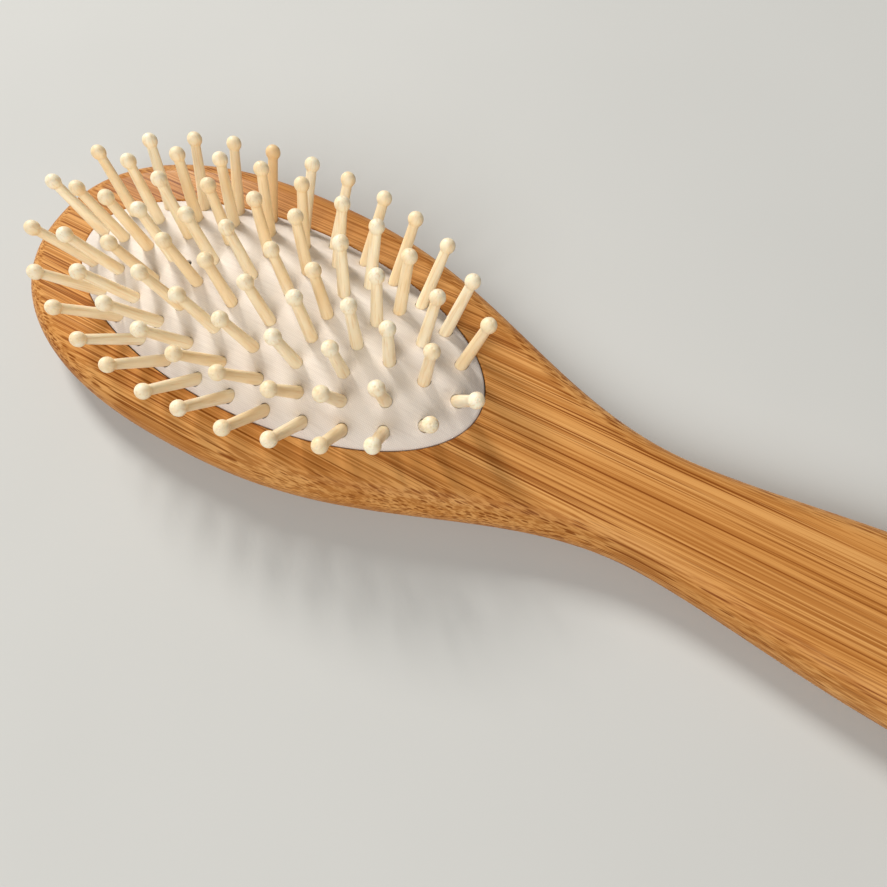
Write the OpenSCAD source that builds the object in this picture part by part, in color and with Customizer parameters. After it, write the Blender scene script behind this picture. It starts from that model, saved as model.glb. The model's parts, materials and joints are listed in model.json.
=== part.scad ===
// Paddle brush: a bamboo body, an air cushion with a cloth face, and wooden pins.
// +X runs from the head to the end of the handle and +Z out along the pins.
// The origin is on the flat back, under the middle of the cushion.

/* [Body] */
// From the middle of the cushion to the tip of the head
head_reach = 58.6; // [56:0.2:64]
// From the middle of the cushion to the end of the handle
handle_reach = 169; // [160:1:180]
// Widest part of the head
head_w = 61.8; // [58:0.2:66]
// Narrowest part of the neck
neck_w = 21.9; // [18:0.1:26]
// Widest part of the grip
grip_w = 31.2; // [27:0.2:36]
// From the middle of the cushion to the neck
neck_x = 82; // [78:1:88]
// Thickness of the body
body_t = 11; // [10:0.5:14]
// Radius of the rounded edges
edge_r = 5; // [4:0.1:5]

/* [Cushion] */
// Length of the opening that the cushion sits in
opening_l = 93; // [90:0.5:96]
// Width of the opening that the cushion sits in
opening_w = 42.4; // [41:0.2:46]
// Depth of the air space under the cushion
opening_d = 6.5; // [6:0.1:7]
// Rise of the cushion above the body
dome_h = 6.3; // [4:0.1:8]
// Thickness of the rubber
rubber_t = 1.6; // [1.2:0.1:2]
// Thickness of the cloth face
cloth_t = 0.5; // [0.4:0.1:0.6]
// Diameter of the vent hole
vent_d = 1.5; // [1:0.1:2]

/* [Pins] */
// Number of pins in each ring, outer ring first
ring_pins = [26, 20, 14, 10]; // [6:2:28]
// Length of each ring, between pin seats
ring_l = [84.4, 70.8, 56.6, 43]; // [40:0.2:86]
// Width of each ring, between pin seats
ring_w = [37.8, 28.8, 18.8, 6.9]; // [6:0.1:38]
// From the cloth to the middle of a pin's ball
pin_l = 13.2; // [11:0.1:16]
// Diameter of a pin's ball
ball_d = 2.9; // [2.6:0.1:3.4]
// Diameter of a pin just under its ball
neck_d = 1.9; // [1.4:0.1:2]
// Diameter of a pin where it goes through the cushion
shank_d = 2.4; // [2.2:0.1:2.8]
// Diameter of a pin's foot, behind the rubber
foot_d = 4; // [3.6:0.1:4.2]

/* [Hidden] */
ring_names = ["outer", "second", "third", "inner"];
// The pins on the centre line are single, and the others are pairs, one each side of it
function last_pair(ring) = ring_pins[ring] / 2;
function pins_name(ring, k) = str(ring_names[ring], "_pins_", k);

// Outline of the body
widest_x = -8;
grip_x = 138;
head_fullness = 2.25;
handle_fullness = 2.4;
flank_skew = 1.25;
grip_skew = 0.85;
outline_step = 5;
flank_step = 3;
edge_segments = 5;
// The rounding would run this far past each flat face, so the faces end at a clean edge
edge_sink = 0.25;

// Cuts run this far past the faces they open, and joined solids overlap by eps
overcut = 1;
eps = 0.01;
opening_segments = 96;
round_segments = 48;

// Cushion: the clearances and the parts of its rim
rim_gap = 0.2;
layer_gap = 0.1;
running_gap = 0.05;
dome_power = 3.3;
cloth_tuck = 1.2;
skirt_t = 1;
skirt_h = 4.2;
bead_reach = 0.5;
bead_top = 2;
bead_bottom = 3.4;
groove_gap = 0.15;
cloth_a = opening_l / 2 - rim_gap;
cloth_b = opening_w / 2 - rim_gap;
rubber_inset = cloth_t + layer_gap;
dome_rings = 10;
loop_points = 72;
vent_x = -17.6;

// Pins: distances are along the pin, from the cloth
foot_top = -2.7;
foot_t = 1.2;
straight_top = 0.8;
neck_below_ball = 1.3;
hole_below = 3.4;
hole_above = 1.6;
arc_steps = 180;

bamboo = "peru";
rubber = "dimgray";
cloth = "gainsboro";
pin_wood = "wheat";

// A solid through a list of closed loops, all with the same number of points, with flat ends
module loft(loops) {
    n = len(loops[0]);
    last = len(loops) - 1;
    polyhedron(
        points = [for (loop = loops) each loop],
        faces = concat(
            [[for (i = [0:n - 1]) i]],
            [[for (i = [n - 1:-1:0]) last * n + i]],
            [for (j = [0:last - 1], i = [0:n - 1])
                each [[j * n + i, (j + 1) * n + i, j * n + (i + 1) % n],
                      [j * n + (i + 1) % n, (j + 1) * n + i, (j + 1) * n + (i + 1) % n]]]));
}

// ---- Body ----

function ease(u) = (1 - cos(180 * u)) / 2;

// Half of the body's width at x, between the widest part of the head and the grip
function flank(x) = x < neck_x
    ? (head_w + (neck_w - head_w) * ease(pow((x - widest_x) / (neck_x - widest_x), flank_skew))) / 2
    : (neck_w + (grip_w - neck_w) * ease(pow((x - neck_x) / (grip_x - neck_x), grip_skew))) / 2;

// A quarter of a superellipse, from its tip on the x axis at angle 0 to its full width at 90
function quarter(middle, reach, half_w, fullness, angle) =
    [middle + reach * pow(cos(angle), 2 / fullness), half_w * pow(sin(angle), 2 / fullness)];

half_outline = concat(
    [for (a = [0:outline_step:90 - outline_step])
        quarter(widest_x, -head_reach - widest_x, head_w / 2, head_fullness, a)],
    [for (x = [widest_x:flank_step:grip_x - flank_step / 2]) [x, flank(x)]],
    [for (a = [90:-outline_step:0])
        quarter(grip_x, handle_reach - grip_x, grip_w / 2, handle_fullness, a)]);
half_last = len(half_outline) - 1;
outline = concat(half_outline,
    [for (i = [half_last - 1:-1:1]) [half_outline[i][0], -half_outline[i][1]]]);

// The outline moved inwards by an inset, at height z. It runs clockwise, seen from +Z.
function outline_loop(inset, z) = let (n = len(outline))
    [for (i = [0:n - 1])
        let (along = outline[(i + 1) % n] - outline[(i + n - 1) % n],
             inwards = [along[1], -along[0]] / norm(along))
        [outline[i][0] + inset * inwards[0], outline[i][1] + inset * inwards[1], z]];

module ellipse_disc(a, b, h) {
    scale([a / b, 1, 1]) cylinder(h = h, r = b, $fn = opening_segments);
}

module bamboo_body() {
    a = opening_l / 2;
    b = opening_w / 2;
    groove = bead_reach + groove_gap;
    low_mid = edge_r - edge_sink;
    color(bamboo) difference() {
        intersection() {
            loft(concat(
                [for (k = [0:edge_segments]) let (turn = 90 * k / edge_segments)
                    outline_loop(edge_r * (1 - sin(turn)), low_mid - edge_r * cos(turn))],
                [for (k = [0:edge_segments]) let (turn = 90 * k / edge_segments)
                    outline_loop(edge_r * (1 - cos(turn)), body_t - low_mid + edge_r * sin(turn))]));
            translate([-head_reach - overcut, -head_w, 0])
                cube([head_reach + handle_reach + 2 * overcut, 2 * head_w, body_t]);
        }
        translate([0, 0, body_t - opening_d]) ellipse_disc(a, b, opening_d + overcut);
        translate([0, 0, body_t - bead_bottom - groove_gap])
            ellipse_disc(a + groove, b + groove, bead_bottom - bead_top + 2 * groove_gap);
    }
}

// ---- Cushion ----

// Height of the cloth above the body's front at a point
function dome_z(x, y) =
    dome_h * (1 - pow(norm([x / cloth_a, y / cloth_b]), dome_power));

// Ring fractions, closer together towards the rim, where the dome is steep
function ring_at(j) = sin(90 * j / dome_rings);

// A loop on the dome, sunk below the cloth's surface, clockwise from +Z
function dome_loop(a, b, sunk) =
    [for (i = [0:loop_points - 1]) let (t = -360 * i / loop_points, x = a * cos(t), y = b * sin(t))
        [x, y, body_t + dome_z(x, y) - sunk]];

// A level elliptical loop, at a depth below the body's front
function level_loop(inset, depth) =
    [for (i = [0:loop_points - 1]) let (t = -360 * i / loop_points)
        [(opening_l / 2 - inset) * cos(t), (opening_w / 2 - inset) * sin(t), body_t - depth]];

// Loops from the middle of the dome outwards, or back inwards
function dome_loops(inset, sunk, outwards) =
    [for (k = [1:dome_rings]) let (f = ring_at(outwards ? k : dome_rings + 1 - k))
        dome_loop(f * (cloth_a - inset), f * (cloth_b - inset), sunk)];

// The holes that the pins and the air go through
module cushion_holes() {
    for (ring = [0:3], k = [0:ring_pins[ring] - 1])
        at_seat(ring, k)
            translate([0, 0, -hole_below])
                cylinder(h = hole_below + hole_above, d = shank_d + 2 * running_gap, $fn = round_segments);
    translate([vent_x, 0, body_t]) cylinder(h = dome_h + overcut, d = vent_d, $fn = round_segments);
}

module air_cushion() {
    wall = rim_gap + rubber_inset;
    inner = rubber_inset + skirt_t;
    color(rubber) difference() {
        loft(concat(
            dome_loops(inner, rubber_inset + rubber_t, true),
            [level_loop(inner + rim_gap, skirt_h), level_loop(wall, skirt_h),
             level_loop(wall, bead_bottom), level_loop(-bead_reach, bead_bottom),
             level_loop(-bead_reach, bead_top), level_loop(wall, bead_top)],
            dome_loops(rubber_inset, rubber_inset, false)));
        cushion_holes();
    }
}

module cushion_cloth() {
    color(cloth) difference() {
        loft(concat(
            dome_loops(cloth_t, cloth_t, true),
            [level_loop(rim_gap + cloth_t, cloth_tuck), level_loop(rim_gap, cloth_tuck)],
            dome_loops(0, 0, false)));
        cushion_holes();
    }
}

// ---- Pins ----

// Running totals of arc length round a ring, each with its angle
function arc_table(ring) = let (a = ring_l[ring] / 2, b = ring_w[ring] / 2, step = 360 / arc_steps)
    [for (i = 0, s = 0; i <= arc_steps;
          s = s + norm([a * (cos((i + 1) * step) - cos(i * step)),
                        b * (sin((i + 1) * step) - sin(i * step))]), i = i + 1)
        [s, i * step]];
arc_tables = [for (ring = [0:3]) arc_table(ring)];

// Pins stand at equal steps of arc length, and pin 0 is at the handle end
function pin_angle(ring, k) =
    lookup(arc_tables[ring][arc_steps][0] * k / ring_pins[ring], arc_tables[ring]);
function seat_x(ring, k) = ring_l[ring] / 2 * cos(pin_angle(ring, k));
function seat_y(ring, k) = ring_w[ring] / 2 * sin(pin_angle(ring, k));

// How steeply the dome falls at a point, as x and y parts
function fall(x, y) = let (rho = norm([x / cloth_a, y / cloth_b]))
    dome_h * dome_power * pow(rho, dome_power - 2)
    * [x / (cloth_a * cloth_a), y / (cloth_b * cloth_b)];

// Puts its children at a pin's seat on the cloth, square to the dome
module at_seat(ring, k) {
    x = seat_x(ring, k);
    y = seat_y(ring, k);
    slope = fall(x, y);
    translate([x, y, body_t + dome_z(x, y)])
        rotate([0, atan(norm(slope)), atan2(slope[1], slope[0])])
            children();
}

module pin() {
    translate([0, 0, foot_top - foot_t]) cylinder(h = foot_t, d = foot_d, $fn = round_segments);
    translate([0, 0, foot_top - eps])
        cylinder(h = straight_top - foot_top + eps, d = shank_d, $fn = round_segments);
    translate([0, 0, straight_top])
        cylinder(h = pin_l - neck_below_ball - straight_top, d1 = shank_d, d2 = neck_d, $fn = round_segments);
    translate([0, 0, pin_l - neck_below_ball - eps])
        cylinder(h = neck_below_ball + eps, d = neck_d, $fn = round_segments);
    translate([0, 0, pin_l]) sphere(d = ball_d, $fn = round_segments);
}

// One pin on the centre line, or two that mirror each other across it
module pins(ring, k) {
    color(pin_wood) {
        at_seat(ring, k) pin();
        if (k > 0 && k < last_pair(ring)) at_seat(ring, ring_pins[ring] - k) pin();
    }
}

bamboo_body();
air_cushion();
cushion_cloth();
for (ring = [0:3], k = [0:last_pair(ring)])
    pins(ring, k);
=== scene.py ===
"""Looks of the paddle brush: a bamboo body, a cloth-faced air cushion and turned wooden pins."""

import json
import math
import random

import bmesh
import bpy
import numpy as np
from mathutils import Matrix, Vector
from mathutils.geometry import delaunay_2d_cdt
from mathutils.kdtree import KDTree


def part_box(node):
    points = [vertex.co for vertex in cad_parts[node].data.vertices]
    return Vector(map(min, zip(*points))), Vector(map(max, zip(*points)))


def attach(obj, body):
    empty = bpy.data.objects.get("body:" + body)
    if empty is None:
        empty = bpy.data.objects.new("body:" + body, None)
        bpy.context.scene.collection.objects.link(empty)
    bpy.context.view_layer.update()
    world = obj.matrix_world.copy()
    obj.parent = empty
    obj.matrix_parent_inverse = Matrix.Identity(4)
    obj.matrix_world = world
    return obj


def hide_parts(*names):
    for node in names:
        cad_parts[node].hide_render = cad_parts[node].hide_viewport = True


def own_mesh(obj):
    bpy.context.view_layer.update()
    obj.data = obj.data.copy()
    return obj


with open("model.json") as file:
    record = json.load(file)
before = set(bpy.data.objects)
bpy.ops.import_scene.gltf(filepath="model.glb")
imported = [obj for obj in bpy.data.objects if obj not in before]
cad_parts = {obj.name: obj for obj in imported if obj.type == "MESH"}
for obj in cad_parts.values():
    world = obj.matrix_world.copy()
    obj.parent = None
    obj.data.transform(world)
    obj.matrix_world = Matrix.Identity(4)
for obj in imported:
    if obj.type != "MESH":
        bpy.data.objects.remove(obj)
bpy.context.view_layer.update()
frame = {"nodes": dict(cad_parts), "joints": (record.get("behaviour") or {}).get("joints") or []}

MM = 0.001

# ---- Sizes taken from the frame ----

body_low, body_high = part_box("bamboo_body")
cloth_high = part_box("cushion_cloth")[1]
FRONT = body_high.z
HEAD_REACH, HANDLE_REACH, HEAD_HALF = -body_low.x, body_high.x, body_high.y
CLOTH_A, CLOTH_B = cloth_high.x, cloth_high.y
PRESS = "cushion_press"
PRESS_TRAVEL = next(j for j in frame["joints"] if j["name"] == PRESS)["range_m"][1]

# ---- Sizes that the frame's boxes don't show ----

# Body outline: places along X and half widths
WIDEST_X = -8 * MM
NECK_X, NECK_HALF = 82 * MM, 10.95 * MM
GRIP_X, GRIP_HALF = 138 * MM, 15.6 * MM
HEAD_FULLNESS, HANDLE_FULLNESS = 2.25, 2.4
FLANK_SKEW, GRIP_SKEW = 1.25, 0.85
EDGE_R = 5 * MM

# Opening in the body: its depth, its softened lip, its groove, and the cushion's clearance in it
POCKET_D, POCKET_STEPS = 6.5 * MM, 256
LIP_R = 0.35 * MM
GROOVE_TOP, GROOVE_BOTTOM, GROOVE_REACH, GROOVE_CHAMFER = 1.85 * MM, 3.55 * MM, 0.65 * MM, 0.1 * MM
RIM_GAP = 0.2 * MM

# Cushion
DOME_H, DOME_POWER = 6.3 * MM, 3.3
CLOTH_T, RUBBER_T, LAYER_GAP = 0.5 * MM, 1.6 * MM, 0.1 * MM
DIMPLE_D, DIMPLE_R = 0.05 * MM, 1.1 * MM
VENT_X, VENT_R = -17.6 * MM, 0.75 * MM
HOLE_GAP = 0.05 * MM
# How much wider the holes are in the cloth's back, the rubber's top and the rubber's underside
CLOTH_BACK_OPENED, RUBBER_TOP_OPENED, RUBBER_UNDER_OPENED = 0.03 * MM, 0.05 * MM, 0.25 * MM

# Pins: distances along the pin from the cloth, and radii
BALL_AT, BALL_R = 13.2 * MM, 1.45 * MM
NECK_R, SHANK_R = 0.95 * MM, 1.2 * MM
STRAIGHT_TOP, NECK_FILLET = 0.8 * MM, 0.45 * MM
FOOT_R, FOOT_TOP, FOOT_BOTTOM = 2 * MM, -2.7 * MM, -3.9 * MM
FOOT_SOFT, FOOT_SLICE = 0.2 * MM, 0.5 * MM
TIP_DOT_R, TIP_DOT_D = 0.2 * MM, 0.06 * MM

# The dome flattens towards FRONT, and carries down the pin that is named in the joint
LEADER_SEAT_H = 6.275 * MM
PRESS_KEEP = 1 - PRESS_TRAVEL / LEADER_SEAT_H

# Cushion meshes: size of a triangle, and numbers of points round each hole and round the rim
SHEET_STEP = 0.75 * MM
HOLE_R, HOLE_STEPS = SHANK_R + HOLE_GAP, 24
HOLE_RINGS = (HOLE_R + 0.3 * MM, HOLE_R + 0.75 * MM)
RIM_STEPS = 288
# How near to points already placed a point may come: round a hole, round the rim, and elsewhere
HOLE_SPACE, RIM_SPACE, GRID_SPACE = 0.4 * SHEET_STEP, 0.25 * SHEET_STEP, 0.7 * SHEET_STEP
# Rings of points as shares of the cushion's edge: those over 1 tuck down into the opening
TUCK_SHARES, RIM_SHARES = (1, 1.01, 1.02, 1.03), (0.99, 0.975, 0.955)
# The share of the way in from the edge over which the bonded cloth becomes free
EDGE_SHARE = 0.06
CLOTH_TUCK = 1.2 * MM
# Round a pin, out to OPENED_R, the sheet is levelled by a share of the pin's lean. That lets the
# hole stretch less than the full amount that the flattening dome asks for, by another share
OPENED_R, LEVELLED, STRETCH_SPARED = 3.2 * MM, 0.6, 0.48
SKIRT_STEPS = 192
# Each pair is an inset from the opening's wall and a depth below the body's front
SKIRT_PROFILE = [
    (inset * MM, depth * MM)
    for inset, depth in (
        (0.8, 0.9),
        (0.8, 2),
        (-0.35, 2),
        (-0.5, 2.15),
        (-0.5, 3.25),
        (-0.35, 3.4),
        (0.8, 3.4),
        (0.8, 4.2),
        (1.8, 4.2),
        (1.8, 0.9),
    )
]

# Cloth simulation, on a copy that is this many times larger
SIM_SCALE, SIM_FRAMES, SIM_PRESSURE = 20, 20, 4
PUFF = 0.35 * MM

# Differences from pin to pin. Tints run from 0 to 1, and one pin is warmer still
PIN_SEED = 11
PIN_LEAN, PIN_STOUTNESS = math.radians(1.6), 0.02
WARM_PIN, WARM_TINT = ("outer_pins_8", 0), 2.0
# The pin nearest the handle is bent to one side
BENT_PIN, BEND = "outer_pins_0", (0.13, -0.21, 0.0)

THREAD_PITCH = 0.3 * MM

# ---- Studio sizes ----

VIEW_AIM, VIEW_DISTANCE = Vector((43.5 * MM, -7.8 * MM, FRONT)), 125.6 * MM
VIEW_AZIMUTH, VIEW_ELEVATION, VIEW_ROLL, LENS = 39.7, 68.63, -11.18, 28.41
# Azimuth and elevation in degrees, distance and size in metres, power in watts, colour
KEY_LIGHT = (-122, 36, 1.3, 0.34, 14.5, (1.0, 0.98, 0.95))
FILL_LIGHT = (14, 46, 1.2, 0.9, 10.5, (1.0, 0.985, 0.97))
WORLD_COLOUR, BACKDROP_COLOUR = (0.15, 0.15, 0.15, 1), (0.62, 0.62, 0.61, 1)
FLOOR_HALF = 1.5
FLOOR_LIGHT, FLOOR_DARK = (0.6, 0.6, 0.575, 1), (0.55, 0.55, 0.525, 1)


# ---- Meshes ----


def link_object(name, mesh):
    made = bpy.data.objects.new(name, mesh)
    bpy.context.scene.collection.objects.link(made)
    return made


def mesh_object(name, points, faces):
    mesh = bpy.data.meshes.new(name)
    mesh.from_pydata([tuple(p) for p in points], [], [tuple(f) for f in faces])
    mesh.update()
    mesh.shade_smooth()
    return link_object(name, mesh)


def mesh_points(mesh):
    points = np.empty(len(mesh.vertices) * 3)
    mesh.vertices.foreach_get("co", points)
    return points.reshape(-1, 3)


def mesh_normals(mesh):
    normals = np.empty(len(mesh.vertices) * 3)
    mesh.vertices.foreach_get("normal", normals)
    return normals.reshape(-1, 3)


def apply_modifiers(piece):
    """Bakes the modifiers of a piece into its mesh."""
    bpy.context.view_layer.update()
    evaluated = piece.evaluated_get(bpy.context.evaluated_depsgraph_get())
    baked = bpy.data.meshes.new_from_object(evaluated)
    piece.modifiers.clear()
    piece.data = baked


def fix_normals(mesh):
    made = bmesh.new()
    made.from_mesh(mesh)
    bmesh.ops.recalc_face_normals(made, faces=made.faces)
    made.to_mesh(mesh)
    made.free()


def weigh_normals(piece):
    """Smooth shading that keeps flat faces flat and sharp edges crisp."""
    weighted = piece.modifiers.new("face_weighted_normals", "WEIGHTED_NORMAL")
    weighted.keep_sharp = True


def shade_by_angle(piece, degrees):
    """Smooth shading with a crisp edge wherever faces meet at more than the angle."""
    piece.data.shade_smooth()
    piece.data.set_sharp_from_angle(angle=math.radians(degrees))
    weigh_normals(piece)


def at_height(plan, z):
    return np.c_[plan, np.full(len(plan), z)]


def ellipse(a, b, count):
    """Points round an ellipse, clockwise seen from +Z."""
    turn = -2 * np.pi * np.arange(count) / count
    return np.stack([a * np.cos(turn), b * np.sin(turn)], 1)


def strip_faces(rows, count):
    """Quads between neighbouring closed loops."""
    faces = []
    for row in range(rows - 1):
        here, there = row * count, (row + 1) * count
        for i in range(count):
            after = (i + 1) % count
            faces.append((here + i, there + i, there + after, here + after))
    return faces


def lofted(name, loops):
    """A closed solid through a list of loops, with flat ends."""
    count = len(loops[0])
    last = (len(loops) - 1) * count
    faces = strip_faces(len(loops), count)
    faces.append(tuple(range(count)))
    faces.append(tuple(last + i for i in reversed(range(count))))
    made = mesh_object(name, np.vstack(loops), faces)
    fix_normals(made.data)
    return made


def ring_solid(name, loops):
    """A closed ring through a list of loops, the last of which joins the first."""
    made = mesh_object(name, np.vstack(loops + loops[:1]), strip_faces(len(loops) + 1, len(loops[0])))
    joined = bmesh.new()
    joined.from_mesh(made.data)
    bmesh.ops.remove_doubles(joined, verts=joined.verts, dist=1e-7)
    bmesh.ops.recalc_face_normals(joined, faces=joined.faces)
    joined.to_mesh(made.data)
    joined.free()
    return made


def closed_shell(name, outer, inner, faces):
    """A closed sheet between two surfaces of the same mesh, joined along its open edges.

    Only the open edges are crisp."""
    count = len(outer)
    edges = {}
    for face in faces:
        for a, b in zip(face, np.roll(face, -1)):
            edges[(a, b)] = edges.get((a, b), 0) + 1
    walls = [(b, a, a + count, b + count) for a, b in edges if (b, a) not in edges]
    inside = [tuple(i + count for i in reversed(face)) for face in faces]
    made = mesh_object(name, np.vstack([outer, inner]), [tuple(f) for f in faces] + inside + walls)
    crisp = {frozenset(pair) for wall in walls for pair in (wall[:2], wall[2:])}
    for edge in made.data.edges:
        edge.use_edge_sharp = frozenset(edge.vertices) in crisp
    return made


# ---- Bamboo body ----


def ease(u):
    return (1 - math.cos(math.pi * u)) / 2


def flank(x):
    """Half width of the body between the widest part of the head and the grip."""
    if x < NECK_X:
        u = ((x - WIDEST_X) / (NECK_X - WIDEST_X)) ** FLANK_SKEW
        return HEAD_HALF + (NECK_HALF - HEAD_HALF) * ease(u)
    u = ((x - NECK_X) / (GRIP_X - NECK_X)) ** GRIP_SKEW
    return NECK_HALF + (GRIP_HALF - NECK_HALF) * ease(u)


def quarter(middle, reach, half, fullness, angle):
    """A point on a quarter superellipse, from its tip at angle 0 to its full width at 90."""
    power = 2 / fullness
    return middle + reach * math.cos(angle) ** power, half * math.sin(angle) ** power


def closed_outline(end_steps=40, side_steps=110):
    """The body's outline, clockwise seen from +Z, from the tip of the head."""
    right = math.pi / 2
    head = [
        quarter(WIDEST_X, -HEAD_REACH - WIDEST_X, HEAD_HALF, HEAD_FULLNESS, right * k / end_steps)
        for k in range(end_steps)
    ]
    xs = [WIDEST_X + (GRIP_X - WIDEST_X) * k / side_steps for k in range(side_steps)]
    sides = [(x, flank(x)) for x in xs]
    handle = [
        quarter(GRIP_X, HANDLE_REACH - GRIP_X, GRIP_HALF, HANDLE_FULLNESS, right * (1 - k / end_steps))
        for k in range(end_steps)
    ]
    upper = head + sides + handle
    lower = [(x, -y) for x, y in reversed(upper[1:])]
    return np.array(upper + [(HANDLE_REACH, 0.0)] + lower)


def inset_outline(outline, inset):
    along = np.roll(outline, -1, 0) - np.roll(outline, 1, 0)
    along /= np.linalg.norm(along, axis=1)[:, None]
    return outline + inset * np.stack([along[:, 1], -along[:, 0]], 1)


def pocket_cutter():
    """The oval opening with its softened lip and its groove, as a solid to subtract."""
    a, b = CLOTH_A + RIM_GAP, CLOTH_B + RIM_GAP
    turns = [math.pi / 2 * k / 4 for k in range(5)]
    profile = [(LIP_R, MM)]
    profile += [(LIP_R * (1 - math.sin(t)), -LIP_R * (1 - math.cos(t))) for t in turns]
    profile += [(0, -GROOVE_TOP), (GROOVE_REACH, -GROOVE_TOP - GROOVE_CHAMFER)]
    profile += [(GROOVE_REACH, -GROOVE_BOTTOM + GROOVE_CHAMFER), (0, -GROOVE_BOTTOM)]
    profile += [(0, -POCKET_D + LIP_R), (-LIP_R, -POCKET_D)]
    loops = [
        at_height(ellipse(a + out, b + out, POCKET_STEPS), FRONT + depth) for out, depth in profile
    ]
    return lofted("pocket_cutter", loops)


def build_body(edge_steps=12):
    outline = closed_outline()
    turns = [math.pi / 2 * k / edge_steps for k in range(edge_steps + 1)]
    back = [(EDGE_R * (1 - math.cos(t)), EDGE_R * (1 - math.sin(t))) for t in reversed(turns)]
    front = [(inset, FRONT - height) for inset, height in reversed(back)]
    loops = [at_height(inset_outline(outline, inset), height) for inset, height in back + front]
    body = lofted("bamboo_handle_and_head", loops)
    cutter = pocket_cutter()
    cut = body.modifiers.new("pocket", "BOOLEAN")
    cut.object = cutter
    cut.solver = "EXACT"
    apply_modifiers(body)
    bpy.data.objects.remove(cutter)
    shade_by_angle(body, degrees=32)
    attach(body, "brush_body")
    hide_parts("bamboo_body")
    return body


# ---- The dome's shape ----


def spread(plan):
    """How far out points in plan are, from 0 in the middle of the cushion to 1 at its edge."""
    return np.hypot(plan[:, 0] / CLOTH_A, plan[:, 1] / CLOTH_B)


def on_dome(plan):
    """Points in plan put on the dome's smooth shape."""
    return at_height(plan, FRONT + DOME_H * (1 - np.minimum(spread(plan), 1) ** DOME_POWER))


# ---- Pins ----


class Pin:
    """Where one pin stands: its seat on the cloth, its direction and its hole's shape."""

    def __init__(self, points, bend=(0.0, 0.0, 0.0)):
        centred = points - points.mean(0)
        axis = np.linalg.eigh(centred.T @ centred)[1][:, -1]
        self.axis = axis * np.sign(axis[2])
        along = points @ self.axis
        foot = points[along < along.min() + FOOT_SLICE]
        across = foot - np.outer(foot @ self.axis, self.axis)
        middle = (across.max(0) + across.min(0)) / 2
        middle -= (middle @ self.axis) * self.axis
        self.seat = middle + (along.max() - BALL_R - BALL_AT) * self.axis
        self.axis = self.axis + np.array(bend)
        self.axis /= np.linalg.norm(self.axis)
        self.lean = np.linalg.norm(self.axis[:2])
        lean_way = self.axis[:2] / self.lean if self.lean > 1e-4 else np.array([1.0, 0.0])
        # Square to the pin: down the dome's slope, and level across it
        self.down = np.array([*(self.axis[2] * lean_way), -self.lean])
        self.side = np.array([-lean_way[1], lean_way[0], 0])
        # The hole is longer down the slope, because the slope is less when the dome is pressed flat
        flattened = self.lean**2 * (1 - PRESS_KEEP)
        self.stretch = (1 - STRETCH_SPARED * flattened) / (1 - flattened)

    def ring(self, radius, count, rounds=4):
        """Points in plan of a ring round the pin's hole, slid along the pin onto the dome."""
        turn = 2 * np.pi * np.arange(count)[:, None] / count
        circle = self.stretch * np.cos(turn) * self.down + np.sin(turn) * self.side
        points = self.seat + radius * circle
        for _ in range(rounds):
            too_high = points[:, 2:] - on_dome(points[:, :2])[:, 2:]
            points = points - too_high * self.axis[2] * self.axis
        return points[:, :2]

    def around(self, plan):
        """Where points of the dome are, square to the pin: how far down its slope and across it."""
        away = on_dome(plan) - self.seat
        return np.stack([away @ self.down / self.stretch, away @ self.side], 1)

    def distance(self, plan):
        return np.linalg.norm(self.around(plan), axis=1)


def find_pins(node):
    """The pins of a CAD node: one on the centre line, or one on each side of it."""
    points = mesh_points(frame["nodes"][node].data)
    y = points[:, 1]
    if y.max() < 1.3 * FOOT_R:
        return [Pin(points, BEND) if node == BENT_PIN else Pin(points)]
    return [Pin(points[y > 0]), Pin(points[y < 0])]


def arc(middle, radius, start, end, steps):
    """(along, out) points round an arc, between two angles measured from the pin's direction."""
    angles = np.linspace(start, end, steps)
    return [(middle[0] + radius * math.cos(t), middle[1] + radius * math.sin(t)) for t in angles]


def pin_profile():
    """(along, out) points of a turned pin, from its foot to the dot that the lathe leaves on its ball."""
    right = math.pi / 2
    foot_edge = FOOT_R - FOOT_SOFT
    profile = [(FOOT_BOTTOM, 0)]
    profile += arc((FOOT_BOTTOM + FOOT_SOFT, foot_edge), FOOT_SOFT, 2 * right, right, 4)
    profile += arc((FOOT_TOP - FOOT_SOFT, foot_edge), FOOT_SOFT, right, 0, 4)
    profile += [(FOOT_TOP, SHANK_R), (0, SHANK_R), (STRAIGHT_TOP, SHANK_R)]
    # The fillet's middle is one fillet radius from both the neck and the ball
    out = NECK_R + NECK_FILLET
    below = math.sqrt((BALL_R + NECK_FILLET) ** 2 - out**2)
    lean = math.atan2(out, below)
    neck_at = BALL_AT - below
    profile += [
        (STRAIGHT_TOP + (neck_at - STRAIGHT_TOP) * share, SHANK_R + (NECK_R - SHANK_R) * share)
        for share in (0.25, 0.5, 0.75)
    ]
    profile += arc((neck_at, out), NECK_FILLET, -right, -lean, 6)
    dot = math.asin(TIP_DOT_R / BALL_R)
    profile += arc((BALL_AT, 0), BALL_R, 2 * right - lean, dot, 16)[1:]
    dot_top = BALL_AT + BALL_R * math.cos(dot)
    return profile + [(dot_top - 0.7 * TIP_DOT_D, 0.6 * TIP_DOT_R), (dot_top - TIP_DOT_D, 0)]


def lathed(profile, steps):
    """Points and faces of a profile turned round Z. It starts and ends on the axis."""
    turn = 2 * np.pi * np.arange(steps) / steps
    rings = [
        np.c_[out * np.cos(turn), out * np.sin(turn), np.full(steps, along)]
        for along, out in profile[1:-1]
    ]
    first = len(rings) * steps
    top = first - steps
    points = np.vstack(rings + [[(0, 0, profile[0][0]), (0, 0, profile[-1][0])]])
    faces = [tuple(reversed(face)) for face in strip_faces(len(rings), steps)]
    faces += [(first, (i + 1) % steps, i) for i in range(steps)]
    faces += [(first + 1, top + i, top + (i + 1) % steps) for i in range(steps)]
    return points, faces


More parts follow.
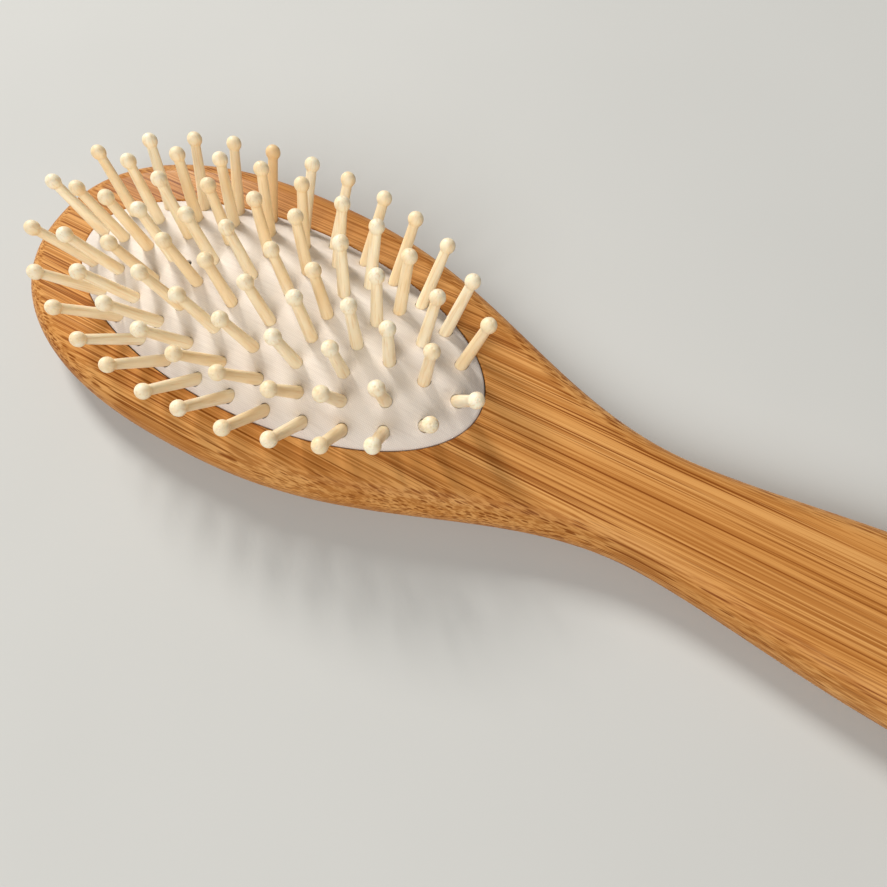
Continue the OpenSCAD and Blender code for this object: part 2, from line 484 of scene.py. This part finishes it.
def store(mesh, name, kind, field, values):
    """Writes a value at each point, for a material to read."""
    attribute = mesh.attributes.new(name, kind, "POINT")
    attribute.data.foreach_set(field, np.asarray(values, np.float32).ravel())


def build_pins(node, pins, shape, chance):
    """The turned pins of one CAD node, each a little different, as wood is."""
    base, faces = shape
    points, all_faces, grain, tints = [], [], [], []
    for number, pin in enumerate(pins):
        stout = 1 + PIN_STOUTNESS * chance.uniform(-1, 1)
        tilt = Matrix.Rotation(PIN_LEAN * chance.uniform(-1, 1), 3, "X")
        tilt = tilt @ Matrix.Rotation(PIN_LEAN * chance.uniform(-1, 1), 3, "Y")
        turn = Vector(pin.axis).to_track_quat("Z", "Y").to_matrix() @ tilt
        points.append((base * np.array([stout, stout, 1])) @ np.array(turn).T + pin.seat)
        all_faces += [tuple(i + len(base) * number for i in face) for face in faces]
        grain.append(base / MM + [chance.uniform(0, 500) for _ in range(3)])
        tint = chance.random()
        tints.append(np.full(len(base), WARM_TINT if (node, number) == WARM_PIN else tint))
    piece = mesh_object("turned_" + node, np.vstack(points), all_faces)
    store(piece.data, "grain", "FLOAT_VECTOR", "vector", np.vstack(grain))
    store(piece.data, "tint", "FLOAT", "value", np.concatenate(tints))
    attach(piece, node)
    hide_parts(node)
    return piece


# ---- Cushion ----


def hex_grid(spacing):
    """Points in plan over the cushion, each in the middle of six others."""
    row = spacing * math.sqrt(3) / 2
    rows, columns = int(CLOTH_B / row) + 1, int(CLOTH_A / spacing) + 1
    return np.array(
        [
            ((i + (j % 2) / 2) * spacing, j * row)
            for j in range(-rows, rows + 1)
            for i in range(-columns, columns + 1)
        ]
    )


def spaced(points, kept, space):
    """The points that are farther than a space from all those already kept."""
    tree = KDTree(len(kept))
    for number, point in enumerate(kept):
        tree.insert((point[0], point[1], 0), number)
    tree.balance()
    away = np.array([tree.find((point[0], point[1], 0))[2] for point in points])
    return points[away > space]


def cushion_plan(pins):
    """A triangle mesh in plan of the cushion's face, with a hole at each pin and at the vent.

    Shares over 1 are the edge that tucks down into the opening. Returns the points, the faces,
    and whether the wood or a pin holds each point still."""
    edge = ellipse(CLOTH_A, CLOTH_B, RIM_STEPS)
    turn = 2 * np.pi * np.arange(HOLE_STEPS)[:, None] / HOLE_STEPS
    circle = np.hstack([np.cos(turn), np.sin(turn)])
    vent = np.array([VENT_X, 0.0])
    holes = [pin.ring(HOLE_R, HOLE_STEPS) for pin in pins] + [vent + VENT_R * circle]
    held = np.vstack(holes + [edge * share for share in TUCK_SHARES])
    loops = [pin.ring(radius, HOLE_STEPS) for pin in pins for radius in HOLE_RINGS]
    loops += [vent + (VENT_R + SHEET_STEP / 2) * circle]
    grid = hex_grid(SHEET_STEP)
    points = held
    for more, space in (
        (np.vstack(loops), HOLE_SPACE),
        (np.vstack([edge * share for share in RIM_SHARES]), RIM_SPACE),
        (grid[spread(grid) < RIM_SHARES[-1]], GRID_SPACE),
    ):
        outside = np.min([pin.distance(more) for pin in pins], 0) > HOLE_R
        outside &= np.linalg.norm(more - vent, axis=1) > VENT_R
        outside &= spread(more) < 1
        points = np.vstack([points, spaced(more[outside], points, space)])
    hole = np.full(len(points), -1)
    hole[: len(holes) * HOLE_STEPS] = np.repeat(np.arange(len(holes)), HOLE_STEPS)
    faces = delaunay_2d_cdt([Vector(p) for p in points], [], [], 0, 1e-9, False)[2]
    faces = [face for face in faces if hole[face[0]] < 0 or len({hole[i] for i in face}) > 1]
    return points, np.array(faces), np.arange(len(points)) < len(held)


def lifted(plan, pins, levelled):
    """Points in plan put on the dome, with the edge tucked down.

    Each pin makes a shallow dimple, and the sheet round it is levelled by a share of the pin's lean."""
    rho = spread(plan)
    tucked = np.maximum(rho - 1, 0) / (TUCK_SHARES[-1] - 1)
    free = np.clip((1 - rho) / EDGE_SHARE, 0, 1)
    points = on_dome(plan)
    points[:, :2] /= np.maximum(rho, 1)[:, None]
    points[:, 2] -= CLOTH_TUCK * tucked
    for pin in pins:
        around = pin.around(plan)
        distance = np.linalg.norm(around, axis=1)
        near = np.clip((OPENED_R - distance) / (OPENED_R - HOLE_R), 0, 1) ** 2
        level = levelled * pin.lean / pin.axis[2] * around[:, 0] * near
        dimple = DIMPLE_D * np.exp(-(((distance - HOLE_R) / DIMPLE_R) ** 2))
        points += (free * (level - dimple))[:, None] * pin.axis
    return points


def puffed(points, plan, faces, held):
    """The points as the air behind them lifts the cloth between its pins, by cloth simulation.

    The lift fades out towards the edge, where the cloth is bonded down."""
    scene = bpy.context.scene
    sheet = mesh_object("cloth_simulation", points * SIM_SCALE, faces)
    sheet.vertex_groups.new(name="held").add(np.flatnonzero(held).tolist(), 1, "REPLACE")
    cloth = sheet.modifiers.new("cloth", "CLOTH")
    cloth.settings.vertex_group_mass = "held"
    cloth.settings.use_pressure = True
    cloth.settings.uniform_pressure_force = SIM_PRESSURE
    cloth.settings.effector_weights.gravity = 0
    cloth.collision_settings.use_collision = False
    for number in range(1, SIM_FRAMES + 1):
        scene.frame_set(number)
    evaluated = sheet.evaluated_get(bpy.context.evaluated_depsgraph_get())
    moved = mesh_points(evaluated.data) / SIM_SCALE - points
    scene.frame_set(1)
    bpy.data.objects.remove(sheet)
    farthest = np.linalg.norm(moved, axis=1).max()
    print(f"cloth simulation moved the cloth by up to {farthest / MM:.2f} mm")
    share = min(1, PUFF / farthest) * np.clip((1 - spread(plan)) / EDGE_SHARE - 0.5, 0, 1)
    return points + share[:, None] * moved


def sunk(points, plan, faces, pins, depth, opened):
    """The sheet's points moved in by a depth, along the pins near their holes, with the holes opened.

    The holes also open down the slope, so that a pin stays clear of them as the dome flattens."""
    sheet = mesh_object("normals", points, faces)
    inwards = -mesh_normals(sheet.data)
    result = points + depth * inwards
    bpy.data.objects.remove(sheet)
    for pin in pins:
        around = pin.around(plan)
        distance = np.maximum(np.linalg.norm(around, axis=1), HOLE_R)[:, None]
        share = np.clip((OPENED_R - distance) / (OPENED_R - HOLE_R), 0, 1)
        down, across = around[:, :1] / distance, around[:, 1:] / distance
        pressed = depth * pin.lean * (1 - PRESS_KEEP) * (1 + down) / 2
        result += share * ((opened * down + pressed) * pin.down + opened * across * pin.side)
        result -= share * depth * (pin.axis + inwards)
    return result


def soft_piece(name, outer, inner, faces, node):
    piece = closed_shell(name, outer, inner, faces)
    weigh_normals(piece)
    apply_modifiers(piece)
    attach(piece, "brush_body")
    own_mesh(piece)
    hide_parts(node)
    return piece


def build_cushion(pins):
    plan, faces, held = cushion_plan(pins)
    base = lifted(plan, pins, LEVELLED)
    face = puffed(base, plan, faces, held)
    back = sunk(face, plan, faces, pins, CLOTH_T, CLOTH_BACK_OPENED)
    cloth = soft_piece("woven_cloth_face", face, back, faces, "cushion_cloth")
    rubber_depth = CLOTH_T + LAYER_GAP
    top = sunk(base, plan, faces, pins, rubber_depth, RUBBER_TOP_OPENED)
    even = lifted(plan, pins, 0)
    bottom = sunk(even, plan, faces, pins, rubber_depth + RUBBER_T, RUBBER_UNDER_OPENED)
    # Only the cloth's edge tucks down
    untucked = faces[(spread(plan)[faces] < 1.001).all(1)]
    dome = soft_piece("rubber_dome", top, bottom, untucked, "air_cushion")
    return cloth, dome


def build_skirt():
    """The rubber's skirt and the bead on it that snaps into the groove."""
    a, b = CLOTH_A + RIM_GAP, CLOTH_B + RIM_GAP
    loops = [
        at_height(ellipse(a - inset, b - inset, SKIRT_STEPS), FRONT - depth)
        for inset, depth in SKIRT_PROFILE
    ]
    skirt = ring_solid("rubber_skirt_and_bead", loops)
    shade_by_angle(skirt, degrees=40)
    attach(skirt, "brush_body")
    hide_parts("air_cushion")
    return skirt


# ---- Materials ----


def linear(red, green, blue):
    """A colour as it is seen, each part from 0 to 255, as the renderer's linear colour."""
    parts = [c / 255 for c in (red, green, blue)]
    return tuple(c / 12.92 if c <= 0.04045 else ((c + 0.055) / 1.055) ** 2.4 for c in parts) + (1,)


class Shading:
    """A material's node tree, built up one node at a time."""

    def __init__(self, name):
        self.material = bpy.data.materials.new(name)
        self.material.use_nodes = True
        self.tree = self.material.node_tree
        self.surface = self.tree.nodes["Principled BSDF"]

    def node(self, kind, inputs, **settings):
        made = self.tree.nodes.new("ShaderNode" + kind)
        for key, value in settings.items():
            setattr(made, key, value)
        for key, value in inputs.items():
            self.put(made.inputs[key], value)
        return made

    def put(self, socket, value):
        if isinstance(value, bpy.types.NodeSocket):
            self.tree.links.new(value, socket)
        else:
            socket.default_value = value

    def math(self, operation, a, b=0.0, c=0.0):
        return self.node("Math", {0: a, 1: b, 2: c}, operation=operation).outputs[0]

    def vector(self, operation, a, b):
        return self.node("VectorMath", {0: a, 1: b}, operation=operation).outputs[0]

    def place_mm(self):
        """The point's place in the part's frame, in millimetres."""
        place = self.node("TexCoord", {}).outputs["Object"]
        return self.vector("MULTIPLY", place, (1000, 1000, 1000))

    def noise(self, place, size, detail=2.0):
        """Smooth noise from 0 to 1 whose features have a size along each axis."""
        scaled = self.vector("DIVIDE", place, size)
        inputs = {"Vector": scaled, "Scale": 1.0, "Detail": detail}
        return self.node("TexNoise", inputs).outputs

    def cells(self, place, size):
        """Cells of a size along each axis: the distance from a cell's middle, and its own colour."""
        scaled = self.vector("DIVIDE", place, size)
        return self.node("TexVoronoi", {"Vector": scaled, "Scale": 1.0}).outputs

    def ramp(self, value, start, end, low=0.0, high=1.0):
        """A smooth step from low at start to high at end."""
        inputs = {"Value": value, "From Min": start, "From Max": end, "To Min": low, "To Max": high}
        return self.node("MapRange", inputs, interpolation_type="SMOOTHSTEP").outputs[0]

    def mix(self, share, first, second, how="MIX"):
        made = self.node("Mix", {"Factor": share}, data_type="RGBA", blend_type=how)
        self.put(made.inputs[6], first)
        self.put(made.inputs[7], second)
        return made.outputs[2]

    def bump(self, height, distance, strength=1.0):
        inputs = {"Height": height, "Distance": distance, "Strength": strength}
        return self.node("Bump", inputs).outputs[0]

    def finish(self, **values):
        for key, value in values.items():
            self.put(self.surface.inputs[key.replace("_", " ")], value)
        return self.material


def bamboo_material():
    """Pressed bamboo: pale fibres with dark bundles that run along X.

    The bundles are long thin cells, so a flat face shows them as lines and a face that crosses
    them, such as a rounded edge, shows short flecks."""
    s = Shading("bamboo")
    place = s.place_mm()
    drift = s.noise(place, (120, 12, 12))["Color"]
    drift = s.vector("MULTIPLY", s.vector("SUBTRACT", drift, (0.5, 0.5, 0.5)), (0, 1.2, 1.2))
    place = s.vector("ADD", place, drift)
    tone = s.noise(place, (130, 4, 4))["Fac"]
    fibre = s.noise(place, (70, 0.45, 0.45), detail=3)["Fac"]
    bundles = s.cells(place, (90, 0.5, 0.5))
    strength = s.node("SeparateColor", {0: bundles["Color"]}).outputs[0]
    dark = s.math("MULTIPLY", s.ramp(bundles["Distance"], 0.44, 0.27), s.ramp(strength, -0.1, 0.7))
    thin = s.cells(s.vector("ADD", place, (0, 40, 0)), (60, 0.3, 0.3))
    thin = s.ramp(thin["Distance"], 0.45, 0.25, 0, 0.6)
    base = s.mix(s.ramp(tone, 0.35, 0.65), linear(217, 159, 92), linear(203, 141, 74))
    base = s.mix(s.ramp(fibre, 0.42, 0.62, 0, 0.75), base, linear(170, 105, 42))
    base = s.mix(thin, base, linear(158, 94, 32))
    colour = s.mix(s.math("MULTIPLY", dark, 0.9), base, linear(130, 66, 6))
    height = s.math("SUBTRACT", fibre, s.math("MULTIPLY", dark, 1.4))
    return s.finish(
        Base_Color=colour,
        Roughness=s.ramp(fibre, 0.2, 0.8, 0.6, 0.7),
        Specular_IOR_Level=0.12,
        Coat_Weight=0.35,
        Coat_IOR=1.12,
        Coat_Roughness=0.18,
        Normal=s.bump(height, 0.02 * MM, 0.6),
    )


def pin_material():
    """Pale turned wood, with fine grain along each pin."""
    s = Shading("pin_wood")
    grain = s.node("Attribute", {}, attribute_name="grain").outputs["Vector"]
    tint = s.node("Attribute", {}, attribute_name="tint").outputs["Fac"]
    streak = s.noise(grain, (0.35, 0.35, 7), detail=3)["Fac"]
    cloud = s.noise(grain, (2.5, 2.5, 9))["Fac"]
    base = s.mix(s.ramp(tint, 0, 1), linear(255, 244, 216), linear(250, 229, 190))
    base = s.mix(s.ramp(cloud, 0.42, 0.7, 0, 0.7), base, linear(245, 216, 168))
    base = s.mix(s.ramp(streak, 0.5, 0.7, 0, 0.45), base, linear(232, 196, 142))
    colour = s.mix(s.ramp(tint, 1.2, 2), base, linear(240, 204, 152))
    return s.finish(
        Base_Color=colour,
        Roughness=s.ramp(streak, 0.2, 0.8, 0.42, 0.58),
        Normal=s.bump(streak, 0.015 * MM, 0.5),
        Subsurface_Weight=0.08,
        Subsurface_Radius=(1.0, 0.6, 0.3),
        Subsurface_Scale=0.6 * MM,
    )


def cloth_material():
    """Fine plain weave, 0.3 mm from thread to thread, with painted shade in the gaps between the threads.
    """
    s = Shading("cushion_cloth")
    place = s.place_mm()
    pitch = THREAD_PITCH / MM
    wobble = s.noise(place, (3, 3, 3))["Color"]
    wobble = s.vector("MULTIPLY", s.vector("SUBTRACT", wobble, (0.5, 0.5, 0.5)), (0.25, 0.25, 0))
    part = s.node("SeparateXYZ", {0: s.vector("ADD", place, wobble)}).outputs
    turn = math.pi / pitch
    along = s.math("SINE", s.math("MULTIPLY", part["X"], turn))
    across = s.math("SINE", s.math("MULTIPLY", part["Y"], turn))
    weave = s.math("MULTIPLY", along, across)
    height = s.math("ABSOLUTE", weave)
    slub = s.noise(place, (6, 0.5, 6))["Fac"]
    cloud = s.noise(place, (14, 10, 14))["Fac"]
    base = s.mix(s.ramp(cloud, 0.3, 0.7), linear(240, 232, 222), linear(233, 223, 212))
    base = s.mix(s.ramp(slub, 0.45, 0.75, 0, 0.35), base, linear(217, 205, 193))
    # Painted shade: the colour darkens towards a dark brown in the gaps between the threads, where the
    # weave is low
    colour = s.mix(s.ramp(height, 0.0, 0.5, 0.22, 0), base, linear(170, 156, 140))
    return s.finish(
        Base_Color=colour,
        Roughness=s.ramp(height, 0, 1, 0.95, 0.8),
        Normal=s.bump(height, 0.05 * MM, 0.5),
        Sheen_Weight=0.15,
        Sheen_Roughness=0.5,
    )


def rubber_material():
    """Grey moulded rubber, finely mottled."""
    s = Shading("cushion_rubber")
    place = s.place_mm()
    mottle = s.noise(place, (0.6, 0.6, 0.6), detail=4)["Fac"]
    return s.finish(
        Base_Color=s.mix(mottle, linear(128, 119, 108), linear(104, 96, 87)),
        Roughness=s.ramp(mottle, 0.2, 0.8, 0.6, 0.75),
        Normal=s.bump(mottle, 0.03 * MM, 0.5),
    )


def floor_material():
    s = Shading("floor")
    cloud = s.noise(s.place_mm(), (90, 90, 90), detail=3)["Fac"]
    return s.finish(
        Base_Color=s.mix(cloud, FLOOR_LIGHT, FLOOR_DARK),
        Roughness=0.85,
    )


def paint(material, *pieces):
    for piece in pieces:
        piece.data.materials.clear()
        piece.data.materials.append(material)


# ---- Studio ----


def facing(azimuth, elevation):
    """Direction from the part to something seen at an azimuth and elevation. Azimuth 0 is -Y."""
    turn, rise = math.radians(azimuth), math.radians(elevation)
    level = math.cos(rise)
    return Vector((math.sin(turn) * level, -math.cos(turn) * level, math.sin(rise)))


def area_light(name, azimuth, elevation, distance, size, power, colour):
    light = bpy.data.lights.new(name, "AREA")
    light.shape = "DISK"
    light.size = size
    light.energy = power
    light.color = colour
    placed = bpy.data.objects.new(name, light)
    bpy.context.scene.collection.objects.link(placed)
    direction = facing(azimuth, elevation)
    placed.location = VIEW_AIM + distance * direction
    placed.rotation_euler = direction.to_track_quat("Z", "Y").to_euler()
    return placed


def studio_world():
    """Soft light from all round, with a pale backdrop for the camera."""
    world = bpy.data.worlds.new("studio")
    world.use_nodes = True
    tree = world.node_tree
    seen = tree.nodes.new("ShaderNodeLightPath").outputs["Is Camera Ray"]
    colour = tree.nodes.new("ShaderNodeMix")
    colour.data_type = "RGBA"
    colour.inputs[6].default_value = WORLD_COLOUR
    colour.inputs[7].default_value = BACKDROP_COLOUR
    tree.links.new(seen, colour.inputs[0])
    tree.links.new(colour.outputs[2], tree.nodes["Background"].inputs["Color"])
    return world


def build_studio():
    corners = [(x * FLOOR_HALF, y * FLOOR_HALF, 0) for x, y in ((-1, -1), (1, -1), (1, 1), (-1, 1))]
    floor = mesh_object("floor", corners, [(0, 1, 2, 3)])
    paint(floor_material(), floor)
    area_light("key", *KEY_LIGHT)
    area_light("fill", *FILL_LIGHT)
    bpy.context.scene.world = studio_world()
    bpy.context.scene.view_settings.view_transform = "Standard"


def build_camera():
    camera = bpy.data.cameras.new("camera")
    camera.lens = LENS
    camera.clip_start = 0.01
    placed = bpy.data.objects.new("camera", camera)
    bpy.context.scene.collection.objects.link(placed)
    direction = facing(VIEW_AZIMUTH, VIEW_ELEVATION)
    placed.location = VIEW_AIM + VIEW_DISTANCE * direction
    roll = Matrix.Rotation(math.radians(VIEW_ROLL), 3, "Z")
    placed.rotation_euler = (direction.to_track_quat("Z", "Y").to_matrix() @ roll).to_euler()
    bpy.context.scene.camera = placed


# ---- The brush ----

body = build_body()
pins_of = {node: find_pins(node) for node in sorted(frame["nodes"]) if "_pins_" in node}
pin_shape = lathed(pin_profile(), steps=28)
chance = random.Random(PIN_SEED)
turned_pins = [build_pins(node, pins, pin_shape, chance) for node, pins in pins_of.items()]
cloth, rubber_dome = build_cushion([pin for pins in pins_of.values() for pin in pins])
skirt = build_skirt()

paint(bamboo_material(), body)
paint(pin_material(), *turned_pins)
paint(cloth_material(), cloth)
paint(rubber_material(), rubber_dome, skirt)
build_studio()
build_camera()
